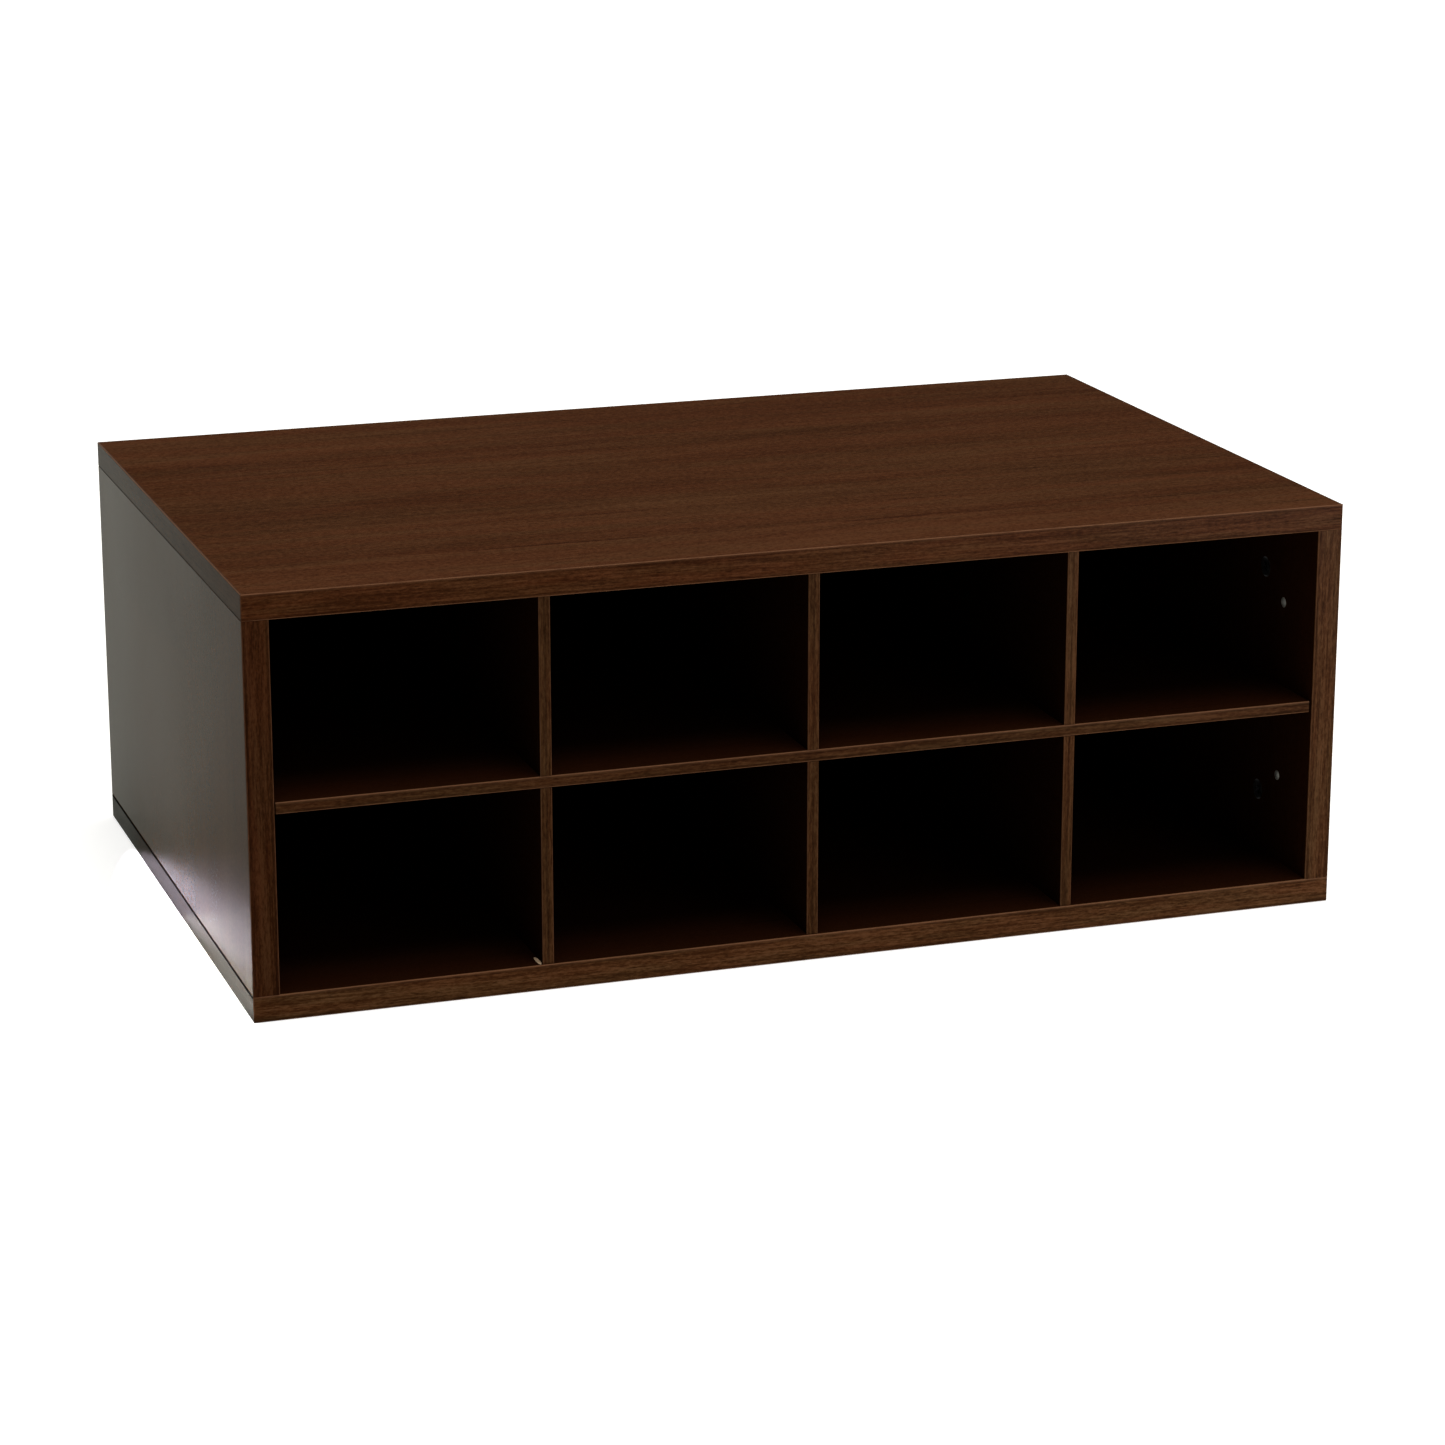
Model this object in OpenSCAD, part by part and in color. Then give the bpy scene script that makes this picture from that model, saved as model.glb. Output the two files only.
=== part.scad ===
// Low cube storage unit: a banded board carcass with a grooved-in back, held by cam locks and dowels,
// around a half-lapped grid of thin boards that slides out of the open front.
// Millimetres, +Z up, the open front faces -Y, and the origin is the middle of the underside.

/* [Carcass] */
// Overall width, to the outside of the end banding
carcass_w = 780; // [600:10:1200]
// Overall depth, from the front banding to the rear edges
carcass_d = 480; // [360:10:600]
// Overall height
carcass_h = 290; // [250:5:420]
// Thickness of the top, the bottom and the two sides
board_t = 18; // [16:1:22]

/* [Edge banding] */
// Thickness of the banding on the carcass boards
band_t = 1; // [0.6:0.2:2]
// Thickness of the banding on the grid boards
grid_band_t = 0.8; // [0.4:0.2:2]
// Radius that eases every banded arris, up to the banding's own thickness
arris_r = 0.8; // [0.2:0.1:2]

/* [Divider grid] */
// Thickness of the dividers and the shelf
grid_t = 8; // [6:0.5:12]
// How far the grid stands behind the carcass's front
grid_recess = 2; // [0:0.5:20]
// Room between each end of the shelf and the side next to it
grid_side_gap = 1.2; // [0.5:0.1:3]
// Room between the dividers and the top
grid_top_gap = 0.5; // [0.3:0.1:2]
// Room between the grid and the back panel
grid_back_gap = 0.5; // [0.3:0.1:3]
// Room on each face of a board in its half-lap slot
lap_gap = 0.15; // [0.05:0.05:0.4]

/* [Back panel] */
// Thickness of the back panel
back_t = 3; // [2.5:0.5:5]
// Board left between the groove and the rear edge
back_inset = 8; // [6:1:20]
// Depth of the groove in each board
groove_depth = 6; // [4:0.5:8]
// Room on each face of the back panel in its groove
groove_face_gap = 0.1; // [0.05:0.05:0.5]
// Room between the back panel's edge and the bottom of its groove
groove_end_gap = 0.8; // [0.3:0.1:2]

/* [Cam locks and bolts] */
// Diameter of a cam lock
cam_d = 15; // [12:1:20]
// Depth of the bolt's line below the face that the cam is let into
cam_axis = 9; // [8:0.5:10]
// Distance from the front or rear edge of a side to the cam's centre
cam_setback = 80; // [60:1:110]
// Distance from the end of a side to the cam's centre
cam_reach = 44; // [24:1:50]
// Diameter of the bolt's head, which the cam draws in
bolt_head_d = 6.4; // [5.5:0.1:7]
// Diameter of the bolt's neck, behind its head
bolt_neck_d = 4; // [3:0.1:4.5]
// Diameter of the bolt's shank
bolt_shank_d = 6; // [5:0.1:7]
// Diameter of the collar that stops the bolt at the joint
bolt_collar_d = 7.4; // [7:0.1:7.6]
// Diameter of the bore that the bolt lies in
bolt_bore_d = 8; // [7.8:0.1:10]
// Diameter of the bolt's screwed end
bolt_screw_d = 5; // [4:0.5:6]
// Length of the bolt's screwed end
bolt_screw_l = 11; // [8:0.5:12]

/* [Dowels] */
// Diameter of a dowel
dowel_d = 8; // [6:1:10]
// Length of a dowel
dowel_l = 24; // [20:1:28]
// Distance from the front or rear edge of a side to the dowel's centre
dowel_setback = 48; // [30:1:52]

/* [Wall pins] */
// Diameter of a pin's shank
pin_d = 5; // [4:0.5:6]
// Length of a pin's shank in its hole
pin_l = 9; // [6:0.5:11]
// Diameter of a pin's domed head
pin_head_d = 7.5; // [7:0.5:10]
// Height of a pin's domed head
pin_head_h = 1.2; // [0.8:0.1:2]
// Distance from the front or rear edge of a side to the pin's centre
pin_setback = 50; // [35:1:55]
// Height between the two pins of a pair, a multiple of 32
pin_spacing = 128; // [96:32:192]

/* [Hidden] */
$fn = 64;
// Room round every fitting in its hole
fit_gap = 0.05;
// Depth of a blind hole past the end of what it holds
hole_end_gap = 0.5;
// How far a cutting shape runs past the face that it opens
cut = 1;

WALNUT_FACE = "#4b2c1c";
WALNUT_EDGE = "#3c2317";
HARDBOARD = "#5a4230";
ZINC = "#8d8f92";
STEEL = "#c9cbcd";
BEECH = "#c9a878";

// The grid divides the inside into four columns, so it has three dividers.
columns = 4;

inner_w = carcass_w - 2 * board_t;
inner_h = carcass_h - 2 * board_t;
front_y = -carcass_d / 2;
rear_y = carcass_d / 2;
inner_x = inner_w / 2;
side_mid_x = inner_x + board_t / 2;
core_front_y = front_y + band_t;
core_d = carcass_d - band_t;
lid_core_w = carcass_w - 2 * band_t;

groove_w = back_t + 2 * groove_face_gap;
groove_y = rear_y - back_inset - groove_w;
back_front_y = groove_y + groove_face_gap;
back_reach = groove_depth - groove_end_gap;

grid_front_y = front_y + grid_recess;
grid_rear_y = back_front_y - grid_back_gap;
grid_core_y = grid_front_y + grid_band_t;
grid_core_d = grid_rear_y - grid_core_y;
lap_y = (grid_front_y + grid_rear_y) / 2;
shelf_w = inner_w - 2 * grid_side_gap;
shelf_z = board_t + inner_h / 2;
divider_h = inner_h - grid_top_gap;
cell_w = (inner_w - (columns - 1) * grid_t) / columns;
divider_xs = [for (i = [1 : columns - 1]) -inner_x + i * (cell_w + grid_t) - grid_t / 2];
slot_half = grid_t / 2 + lap_gap;

cam_ys = [front_y + cam_setback, rear_y - cam_setback];
dowel_ys = [front_y + dowel_setback, rear_y - dowel_setback];
pin_ys = [front_y + pin_setback, rear_y - pin_setback];
cam_r = cam_d / 2 - fit_gap;
bolt_x = inner_x + cam_axis;
// The cam's chamber leaves a wall all round and a floor, and its slot lets the bolt's neck through.
cam_wall = 1.9;
cam_floor = 1;
cam_offset = 0.6;
chamber_r = cam_r - cam_wall - cam_offset;
chamber_h = bolt_head_d + 0.8;
cam_h = cam_axis + chamber_h / 2 + cam_floor;
mouth_d = bolt_head_d + 0.4;
neck_slot_h = bolt_neck_d + 0.4;
neck_slot_turn = 200;
neck_slot_lead = 35;
recess_l = 7.6;
recess_w = 1.5;
recess_depth = 1.6;
collar_l = 3;
chamfer = 1;
screw_pitch = 1.6;
screw_root = 0.45;

// Moves a lid drawn with its inner face at z = 0 to the top or the bottom of the carcass.
module at_top() {
    translate([0, 0, carcass_h - board_t]) children();
}

module at_bottom() {
    translate([0, 0, board_t]) mirror([0, 0, 1]) children();
}

// What is drawn on the right side is mirrored to make the left one.
module on_left() {
    mirror([1, 0, 0]) children();
}

// Repeats what is drawn for the upper end of a side at its lower end too.
module both_ends() {
    children();
    translate([0, 0, carcass_h]) mirror([0, 0, 1]) children();
}

// Section of a banding strip: its outer face on y = 0 with both arrises eased, its glued face on y = thick.
module strip_section(wide, thick) {
    r = min(arris_r, thick);
    intersection() {
        translate([-wide / 2, 0]) square([wide, thick]);
        union() {
            translate([r - wide / 2, 0]) square([wide - 2 * r, thick]);
            translate([-wide / 2, r]) square([wide, thick]);
            for (side = [-1, 1])
                translate([side * (wide / 2 - r), r]) circle(r);
        }
    }
}

// Vertical strip that faces -Y, with its foot at z = 0.
module upright_strip(wide, thick, long) {
    linear_extrude(long) strip_section(wide, thick);
}

// Level strip that faces -Y, centred on x = 0, with its lower edge at z = 0.
module level_strip(wide, thick, long) {
    translate([-long / 2, 0, wide / 2])
        rotate([0, 90, 0])
            linear_extrude(long) strip_section(wide, thick);
}

// The top and the bottom are the same board, drawn with its inner face at z = 0.
module lid_board() {
    difference() {
        translate([-lid_core_w / 2, core_front_y, 0]) cube([lid_core_w, core_d, board_t]);
        translate([-lid_core_w / 2 - cut, groove_y, -cut])
            cube([lid_core_w + 2 * cut, groove_w, groove_depth + cut]);
        for (side = [-1, 1]) {
            for (y = dowel_ys)
                translate([side * side_mid_x, y, -cut])
                    cylinder(d = dowel_d, h = cut + dowel_l / 2 + hole_end_gap);
            for (y = cam_ys)
                translate([side * bolt_x, y, -cut])
                    cylinder(d = bolt_screw_d, h = cut + bolt_screw_l + hole_end_gap);
        }
    }
}

// Banding along a lid's front: its two ends are eased as well, where they turn the corners.
module lid_front_strip() {
    translate([0, front_y, 0])
        intersection() {
            level_strip(board_t, band_t, carcass_w);
            upright_strip(carcass_w, band_t, board_t);
        }
}

// Banding on a lid's right end, butted against the back of the front strip.
module lid_end_strip() {
    translate([carcass_w / 2, core_front_y + core_d / 2, 0])
        rotate([0, 0, 90])
            level_strip(board_t, band_t, core_d);
}

// Holes that enter a side's end, drawn for the upper end of the right side.
module side_end_holes() {
    translate([0, 0, carcass_h - board_t]) {
        for (y = dowel_ys)
            translate([side_mid_x, y, -dowel_l / 2 - hole_end_gap])
                cylinder(d = dowel_d, h = cut + dowel_l / 2 + hole_end_gap);
        for (y = cam_ys) {
            translate([bolt_x, y, -cam_reach]) cylinder(d = bolt_bore_d, h = cut + cam_reach);
            translate([inner_x - cut, y, -cam_reach])
                rotate([0, 90, 0]) cylinder(d = cam_d, h = cut + cam_h + hole_end_gap);
        }
    }
}

module side_board() {
    difference() {
        translate([inner_x, core_front_y, board_t]) cube([board_t, core_d, inner_h]);
        translate([inner_x - cut, groove_y, board_t - cut])
            cube([groove_depth + cut, groove_w, inner_h + 2 * cut]);
        both_ends() side_end_holes();
        for (y = pin_ys, end = [-1, 1])
            translate([inner_x - cut, y, carcass_h / 2 + end * pin_spacing / 2])
                rotate([0, 90, 0]) cylinder(d = pin_d, h = cut + pin_l + hole_end_gap);
    }
}

module side_strip() {
    translate([side_mid_x, front_y, board_t]) upright_strip(board_t, band_t, inner_h);
}

// A cam lock with its slotted face on z = 0 and its bolt coming in along +X: an eccentric chamber
// takes the bolt's head, a slot round the wall passes the neck, and a mouth lets the head in and out.
module cam_lock() {
    difference() {
        translate([0, 0, -cam_h]) cylinder(r = cam_r, h = cam_h);
        translate([cam_offset, 0, -cam_axis - chamber_h / 2]) cylinder(r = chamber_r, h = chamber_h);
        translate([0, 0, -cam_axis - neck_slot_h / 2])
            rotate([0, 0, -neck_slot_lead])
                rotate_extrude(angle = neck_slot_turn)
                    translate([chamber_r - cam_offset - cut, 0]) square([cam_r, neck_slot_h]);
        rotate([0, 0, neck_slot_turn - neck_slot_lead])
            translate([chamber_r - cam_offset - cut, 0, -cam_axis])
                rotate([0, 90, 0]) cylinder(d = mouth_d, h = cam_r);
        for (turn = [45, 135])
            rotate([0, 0, turn])
                translate([-recess_l / 2, -recess_w / 2, -recess_depth])
                    cube([recess_l, recess_w, recess_depth + cut]);
    }
}

// A connecting bolt that points up, with its head's centre at z = 0 and its collar on the joint.
module cam_bolt() {
    head_r = bolt_head_d / 2;
    neck_r = bolt_neck_d / 2;
    shank_r = bolt_shank_d / 2;
    collar_r = bolt_collar_d / 2;
    screw_r = bolt_screw_d / 2 - fit_gap;
    ridges = floor((bolt_screw_l - chamfer) / screw_pitch);
    rotate_extrude() polygon(concat(
        [[0, -head_r + chamfer / 2], [head_r - chamfer, -head_r + chamfer / 2], [head_r, -chamfer]],
        [[head_r, chamfer / 2], [neck_r, head_r - chamfer / 2], [neck_r, cam_r + chamfer / 2]],
        [[shank_r, cam_r + 2 * chamfer], [shank_r, cam_reach - collar_l]],
        [[collar_r, cam_reach - collar_l], [collar_r, cam_reach]],
        [for (i = [0 : ridges - 1], crest = [0, 1])
            [screw_r - (1 - crest) * screw_root, cam_reach + (i + crest / 2) * screw_pitch]],
        [[screw_r - chamfer, cam_reach + bolt_screw_l], [0, cam_reach + bolt_screw_l]]
    ));
}

module dowel() {
    r = dowel_d / 2 - fit_gap;
    rotate_extrude() polygon([
        [0, -dowel_l / 2], [r - chamfer, -dowel_l / 2], [r, chamfer - dowel_l / 2],
        [r, dowel_l / 2 - chamfer], [r - chamfer, dowel_l / 2], [0, dowel_l / 2]
    ]);
}

// A wall pin with its head's underside on z = 0: a straight shank and a shallow dome.
module wall_pin() {
    head_r = pin_head_d / 2;
    dome_r = (head_r * head_r + pin_head_h * pin_head_h) / (2 * pin_head_h);
    translate([0, 0, -pin_l]) cylinder(d = pin_d - 2 * fit_gap, h = pin_l);
    rotate_extrude()
        intersection() {
            square([head_r, pin_head_h]);
            translate([0, pin_head_h - dome_r]) circle(dome_r);
        }
}

module side_cam_locks() {
    both_ends()
        for (y = cam_ys)
            translate([inner_x, y, carcass_h - board_t - cam_reach]) rotate([0, -90, 0]) cam_lock();
}

module side_cam_bolts() {
    both_ends()
        for (y = cam_ys)
            translate([bolt_x, y, carcass_h - board_t - cam_reach]) cam_bolt();
}

module side_dowels() {
    both_ends()
        for (y = dowel_ys)
            translate([side_mid_x, y, carcass_h - board_t]) dowel();
}

module side_wall_pins() {
    for (y = pin_ys, end = [-1, 1])
        translate([inner_x, y, carcass_h / 2 + end * pin_spacing / 2]) rotate([0, -90, 0]) wall_pin();
}

module back_board() {
    panel_w = inner_w + 2 * back_reach;
    panel_h = inner_h + 2 * back_reach;
    translate([-panel_w / 2, back_front_y, board_t - back_reach]) cube([panel_w, back_t, panel_h]);
}

// A divider slotted from its front edge to the middle of its depth, where the shelf passes.
module divider_board(x) {
    difference() {
        translate([x - grid_t / 2, grid_core_y, board_t]) cube([grid_t, grid_core_d, divider_h]);
        translate([x - grid_t / 2 - cut, grid_core_y - cut, shelf_z - slot_half])
            cube([grid_t + 2 * cut, lap_y + lap_gap - grid_core_y + cut, 2 * slot_half]);
    }
}

// A divider's banding, in two lengths, below and above the shelf.
module divider_strips(x) {
    lower_h = shelf_z - slot_half - board_t;
    upper_z = shelf_z + slot_half;
    translate([x, grid_front_y, board_t]) upright_strip(grid_t, grid_band_t, lower_h);
    translate([x, grid_front_y, upper_z])
        upright_strip(grid_t, grid_band_t, board_t + divider_h - upper_z);
}

// The shelf is slotted from its rear edge, so its front edge runs unbroken past the dividers.
module shelf_board() {
    difference() {
        translate([-shelf_w / 2, grid_core_y, shelf_z - grid_t / 2]) cube([shelf_w, grid_core_d, grid_t]);
        for (x = divider_xs)
            translate([x - slot_half, lap_y - lap_gap, shelf_z - grid_t / 2 - cut])
                cube([2 * slot_half, grid_rear_y - lap_y + lap_gap + cut, grid_t + 2 * cut]);
    }
}

module shelf_strip() {
    translate([0, grid_front_y, shelf_z - grid_t / 2]) level_strip(grid_t, grid_band_t, shelf_w);
}

module top_panel() { color(WALNUT_FACE) at_top() lid_board(); }
module bottom_panel() { color(WALNUT_FACE) at_bottom() lid_board(); }
module left_side() { color(WALNUT_FACE) on_left() side_board(); }
module right_side() { color(WALNUT_FACE) side_board(); }
module back_panel() { color(HARDBOARD) back_board(); }
module top_front_band() { color(WALNUT_EDGE) at_top() lid_front_strip(); }
module top_left_band() { color(WALNUT_EDGE) at_top() on_left() lid_end_strip(); }
module top_right_band() { color(WALNUT_EDGE) at_top() lid_end_strip(); }
module bottom_front_band() { color(WALNUT_EDGE) at_bottom() lid_front_strip(); }
module bottom_left_band() { color(WALNUT_EDGE) at_bottom() on_left() lid_end_strip(); }
module bottom_right_band() { color(WALNUT_EDGE) at_bottom() lid_end_strip(); }
module left_side_band() { color(WALNUT_EDGE) on_left() side_strip(); }
module right_side_band() { color(WALNUT_EDGE) side_strip(); }
module divider_left() { color(WALNUT_FACE) divider_board(divider_xs[0]); }
module divider_middle() { color(WALNUT_FACE) divider_board(divider_xs[1]); }
module divider_right() { color(WALNUT_FACE) divider_board(divider_xs[2]); }
module shelf() { color(WALNUT_FACE) shelf_board(); }
module divider_left_bands() { color(WALNUT_EDGE) divider_strips(divider_xs[0]); }
module divider_middle_bands() { color(WALNUT_EDGE) divider_strips(divider_xs[1]); }
module divider_right_bands() { color(WALNUT_EDGE) divider_strips(divider_xs[2]); }
module shelf_band() { color(WALNUT_EDGE) shelf_strip(); }
module left_cam_locks() { color(ZINC) on_left() side_cam_locks(); }
module right_cam_locks() { color(ZINC) side_cam_locks(); }
module left_cam_bolts() { color(STEEL) on_left() side_cam_bolts(); }
module right_cam_bolts() { color(STEEL) side_cam_bolts(); }
module left_dowels() { color(BEECH) on_left() side_dowels(); }
module right_dowels() { color(BEECH) side_dowels(); }
module left_wall_pins() { color(STEEL) on_left() side_wall_pins(); }
module right_wall_pins() { color(STEEL) side_wall_pins(); }

top_panel();
bottom_panel();
left_side();
right_side();
back_panel();
top_front_band();
top_left_band();
top_right_band();
bottom_front_band();
bottom_left_band();
bottom_right_band();
left_side_band();
right_side_band();
divider_left();
divider_middle();
divider_right();
shelf();
divider_left_bands();
divider_middle_bands();
divider_right_bands();
shelf_band();
left_cam_locks();
right_cam_locks();
left_cam_bolts();
right_cam_bolts();
left_dowels();
right_dowels();
left_wall_pins();
right_wall_pins();
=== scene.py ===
"""Looks of a low cube storage unit: walnut-print boards, their edge banding, and the fittings."""

import math

import bpy
from bpy.props import FloatProperty, FloatVectorProperty, IntProperty, PointerProperty
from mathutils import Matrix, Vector


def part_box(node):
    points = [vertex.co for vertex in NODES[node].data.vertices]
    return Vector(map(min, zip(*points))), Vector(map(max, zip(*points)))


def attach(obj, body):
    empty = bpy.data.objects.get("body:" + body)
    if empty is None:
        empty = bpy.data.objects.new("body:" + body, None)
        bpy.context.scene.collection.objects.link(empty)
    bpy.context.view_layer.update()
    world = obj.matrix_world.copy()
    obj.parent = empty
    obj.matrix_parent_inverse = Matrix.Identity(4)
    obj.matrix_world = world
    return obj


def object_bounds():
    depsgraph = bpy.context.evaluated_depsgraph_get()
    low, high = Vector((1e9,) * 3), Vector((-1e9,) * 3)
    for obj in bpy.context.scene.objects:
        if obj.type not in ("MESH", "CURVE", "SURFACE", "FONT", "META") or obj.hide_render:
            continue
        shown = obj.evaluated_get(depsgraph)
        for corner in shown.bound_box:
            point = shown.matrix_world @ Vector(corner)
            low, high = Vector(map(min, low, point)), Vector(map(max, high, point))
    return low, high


bl_info = {
    "name": "Cube storage unit",
    "version": (1, 0, 0),
    "blender": (4, 5, 0),
    "location": "View3D > Sidebar > Cube Unit",
    "description": "Finishes and fittings of a low cube storage unit",
    "category": "Object",
}

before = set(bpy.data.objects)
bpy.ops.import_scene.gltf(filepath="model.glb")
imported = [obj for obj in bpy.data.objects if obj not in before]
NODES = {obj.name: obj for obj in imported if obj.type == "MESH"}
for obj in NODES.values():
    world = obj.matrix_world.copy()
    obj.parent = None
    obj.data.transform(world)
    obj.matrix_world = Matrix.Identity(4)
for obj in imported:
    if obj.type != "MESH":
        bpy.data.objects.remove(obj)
CAD_LOW, CAD_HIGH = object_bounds()

MM = 0.001
AXES = "XYZ"
# The strips of banding by the axis that they run along, each with a brightness against the boards that
# paints how the light falls on it: darker to the left and lighter to the right.
BANDING = {
    "X": {"top_front_band": 0.93, "bottom_front_band": 1.30, "shelf_band": 0.90},
    "Y": {
        "top_left_band": 0.90, "top_right_band": 0.90,
        "bottom_left_band": 0.42, "bottom_right_band": 0.42,
    },
    "Z": {
        "left_side_band": 0.69, "right_side_band": 1.10,
        "divider_left_bands": 0.88, "divider_middle_bands": 0.95, "divider_right_bands": 1.0,
    },
}
GRID_BANDING = ("shelf_band", "divider_left_bands", "divider_middle_bands", "divider_right_bands")
TAN_BANDING = GRID_BANDING + ("right_side_band", "bottom_front_band")
# A Mix node's colour sockets go by number, because its number, vector and colour ones share names.
MIX_A, MIX_B, MIX_COLOUR = 6, 7, 2


# ---------------------------------------------------------------- settings


def length_setting(name, description, default):
    return FloatProperty(
        name=name, description=description, default=default, min=0.0, subtype="DISTANCE", unit="LENGTH"
    )


def share_setting(name, description, default, top=1.0):
    return FloatProperty(
        name=name, description=description, default=default, min=0.0, max=top, subtype="FACTOR"
    )


def colour_setting(name, description, default):
    return FloatVectorProperty(
        name=name, description=description, default=default, size=3, min=0.0, max=1.0, subtype="COLOR"
    )


class WalnutSettings(bpy.types.PropertyGroup):
    """The printed walnut foil on the boards and the banding."""

    dark: colour_setting("Dark grain", "Colour of the darkest lines", (0.030, 0.0096, 0.0032))
    middle: colour_setting("Middle tone", "Colour of most of the face", (0.0535, 0.0188, 0.0068))
    light: colour_setting("Light grain", "Colour of the lightest lines", (0.080, 0.0315, 0.0128))
    # The arris colour is a painted highlight on the arrises, mixed with wear.
    arris: colour_setting("Arris", "Colour of the rubbed arrises", (0.135, 0.062, 0.031))
    cool_tint: colour_setting("Cool tint", "Multiplies the print where it is least red", (0.95, 1.0, 1.0))
    warm_tint: colour_setting("Warm tint", "Multiplies the print where it is reddest", (1.0, 0.92, 0.90))
    # Painted shade: the inner tint and the cell tones below darken and redden the print on the faces inside
    # the cells.
    inner_shade_tint: colour_setting("Inner tint", "Multiplies the print inside the cells", (1.0, 0.84, 0.72))
    # Painted shade: the sides and their end banding take a darker, greener copy of the print.
    side_shade_tint: colour_setting("Side tint", "Multiplies the print on the two sides", (0.74, 0.84, 0.62))
    band_tint: colour_setting("Banding tint", "Multiplies the carcass's banding", (0.98, 0.90, 0.80))
    tan_tint: colour_setting("Tan tint", "Multiplies the banding that is less red", (0.90, 0.99, 0.95))
    # Painted shade inside the cells: one brightness for each kind of face.
    wall_shade: share_setting("Cell wall tone", "Brightness of the walls inside the cells", 0.34)
    grid_shade: share_setting("Grid tone", "Brightness of the dividers' faces", 0.19)
    shelf_shade: share_setting("Shelf tone", "Brightness of the shelf's faces", 0.31)
    floor_shade: share_setting("Cell floor tone", "Brightness of the bottom panel inside the cells", 0.27)
    back_shade: share_setting("Cell back tone", "Brightness of the back panel inside the cells", 0.10)
    strip_wide: length_setting("Pale strip", "Width of the paler strip along the top's front", 0.063)
    side_calm: share_setting("Side contrast", "Contrast of the grain on the two sides", 0.45)
    inner_calm: share_setting("Cell contrast", "Contrast of the grain inside the cells", 0.40)
    # A painted highlight along the upper edge of the long front banding.
    lip_highlight_share: share_setting("Lip", "How much lighter the upper edge of a long front banding is", 0.22)
    grain_long: length_setting("Grain length", "Length of a line of grain", 0.110)
    grain_wide: length_setting("Grain width", "Width of a line of grain", 0.0028)
    joint_line: length_setting("Joint line", "From an end banding's edge to its dark line", 0.8 * MM)
    shade_line: length_setting("Shade line", "From a banding's edge to its dark line", 1.6 * MM)
    pore_deep: length_setting("Pore depth", "Depth of the pressed pores", 0.00008)
    face_gloss: share_setting("Face gloss", "Strength of the lacquer on the top and the inside", 0.012)
    side_gloss: share_setting("Side gloss", "Strength of the lacquer on the two sides", 0.205)
    # Painted reflection: the sides' lacquer grows toward the rear, to paint a brighter reflection there.
    side_painted_sheen: FloatProperty(
        name="Side polish", description="How much the sides' lacquer gains toward the rear, for each metre",
        default=1.4, min=0.0, max=4.0,
    )
    band_gloss: share_setting("Banding gloss", "Strength of the lacquer on the banding", 0.10)
    foil_rough: share_setting("Foil roughness", "Roughness of the foil under its lacquer", 0.55)
    lacquer_rough: share_setting("Lacquer roughness", "Roughness of the lacquer", 0.24)


class CoreSettings(bpy.types.PropertyGroup):
    """What shows where a board or the back panel has no foil."""

    flake_pale: colour_setting("Pale flakes", "Lightest flakes of the raw board", (0.560, 0.400, 0.250))
    flake_dark: colour_setting("Dark flakes", "Darkest flakes of the raw board", (0.240, 0.138, 0.075))
    flake_size: length_setting("Flake size", "Length of a flake of the raw board", 0.0034)
    chip_long: length_setting("Chip length", "Length of the chip at a divider's foot", 15 * MM)
    chip_wide: length_setting("Chip width", "Width of the chip at a divider's foot", 3.0 * MM)
    hardboard: colour_setting("Hardboard", "Colour of the back panel's rear", (0.165, 0.085, 0.042))
    screen_pitch: length_setting("Screen pitch", "Spacing of the screen print on the rear", 0.0016)
    foil_thick: length_setting("Foil edge", "Depth from a rear edge at which the foil starts", 0.0004)


class FittingSettings(bpy.types.PropertyGroup):
    """Cam locks, bolts, dowels and wall pins."""

    # This zinc is far darker than bare zinc: painted shade on the cam locks.
    shaded_zinc: colour_setting("Zinc", "Colour of the cast cam locks", (0.095, 0.095, 0.10))
    steel: colour_setting("Steel", "Colour of the bolts", (0.60, 0.60, 0.61))
    nickel: colour_setting("Nickel", "Colour of the wall pins", (0.66, 0.64, 0.59))
    beech: colour_setting("Beech", "Colour of the dowels", (0.560, 0.370, 0.200))
    cam_radius: length_setting("Cam radius", "Radius of a cam lock's face", 7.45 * MM)
    tooth_count: IntProperty(name="Teeth", description="Teeth round a cam lock's face", default=28, min=3)
    tooth_length: length_setting("Tooth length", "Length of a tooth, along the radius", 0.9 * MM)
    tooth_width: length_setting("Tooth width", "Width of a tooth at its foot", 0.5 * MM)
    tooth_height: length_setting("Tooth height", "How far a tooth stands off the face", 0.16 * MM)


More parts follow.
